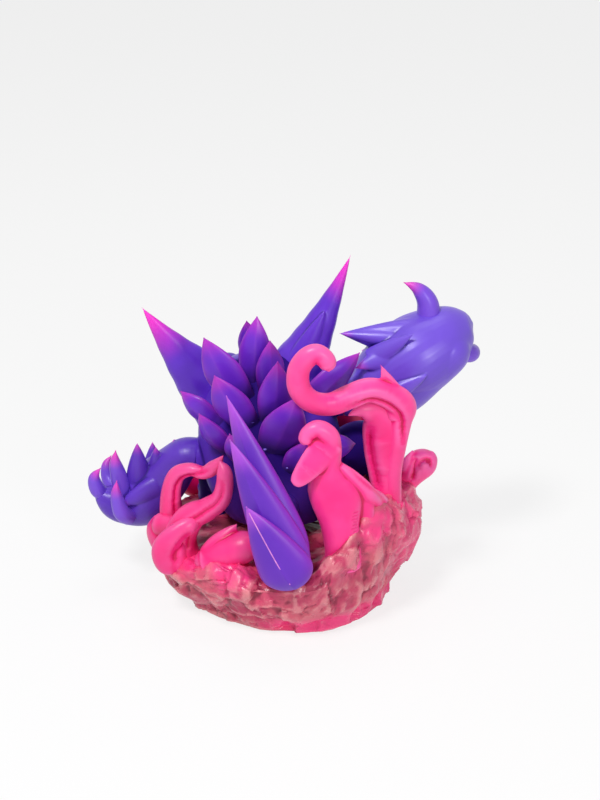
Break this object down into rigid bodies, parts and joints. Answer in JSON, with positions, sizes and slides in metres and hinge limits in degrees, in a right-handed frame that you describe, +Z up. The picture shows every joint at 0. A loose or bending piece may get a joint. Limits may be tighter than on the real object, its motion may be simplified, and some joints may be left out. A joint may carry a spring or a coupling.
{
  "type": "alebrije figure",
  "caption": "Painted horned and spiny beast standing on a craggy rock among curling flames, with a scaled tail and pegged arms that turn; a free-standing display figure.",
  "frame": {"origin": "centre of the felt's underside, where the figure stands", "axes": "+Z up, +Y the way the beast faces, +X towards its raised right arm"},
  "size_m": [0.2164, 0.1597, 0.1895],
  "materials": {
    "felt": "pressed felt",
    "rock_paint": "cast resin, dry-brushed matt paint",
    "flame_paint": "moulded, satin hot pink paint",
    "body_paint": "moulded, satin violet airbrushed paint",
    "spine_paint": "moulded, satin violet paint fading to pink tips",
    "claw_paint": "moulded, satin violet to pink paint",
    "eye_paint": "gloss paint",
    "pin_steel": "plain steel rod",
    "peg_plastic": "natural moulded plastic"
  },
  "bodies": {
    "figure": {"base_felt": "felt", "rock_base": "rock_paint", "flame_tall": "flame_paint", "flame_tall_inner": "flame_paint", "flame_front": "flame_paint", "flame_loop_upper": "flame_paint", "flame_loop_lower": "flame_paint", "flame_left_lobe": "flame_paint", "flame_left_drop": "flame_paint", "flame_mound": "flame_paint", "flame_bud": "flame_paint", "flame_face_right": "flame_paint", "flame_face_left": "flame_paint", "left_foot_pin": "pin_steel", "right_foot_pin": "pin_steel", "left_leg": "body_paint", "right_leg": "body_paint", "left_toe_claws": "claw_paint", "right_toe_claws": "claw_paint", "torso": "body_paint", "neck_pin": "pin_steel", "head": "body_paint", "jaw": "body_paint", "eyes": "eye_paint", "left_horn": "spine_paint", "right_horn": "spine_paint", "head_crest": "spine_paint", "tail_pin": "pin_steel", "tail_stalk": "body_paint", "tail_top_scale": "spine_paint", "tail_middle_scale": "spine_paint", "tail_low_scale": "spine_paint", "spine_crown": "spine_paint", "spine_nape_left": "spine_paint", "spine_nape_right": "spine_paint", "spine_shoulder_left": "spine_paint", "spine_shoulder_right": "spine_paint", "spine_upper_left": "spine_paint", "spine_upper_right": "spine_paint", "spine_middle_left": "spine_paint", "spine_middle_right": "spine_paint", "spine_side_right": "spine_paint", "spine_low_left": "spine_paint", "spine_low_right": "spine_paint"},
    "right_arm": {"right_arm": "body_paint", "right_claws": "claw_paint", "right_shoulder_peg": "peg_plastic"},
    "left_arm": {"left_arm": "body_paint", "left_claws": "claw_paint", "left_shoulder_peg": "peg_plastic"}
  },
  "joints": [
    {"name": "right_arm_swivel", "type": "hinge", "parent": "figure", "child": "right_arm", "pos_m": [0.02934, 0.00462, 0.11288], "axis": [1, 0, 0], "range_deg": [-20, 8]},
    {"name": "left_arm_swivel", "type": "hinge", "parent": "figure", "child": "left_arm", "pos_m": [-0.05133, 0.00104, 0.07768], "axis": [1, 0, 0], "range_deg": [-4, 22]}
  ]
}
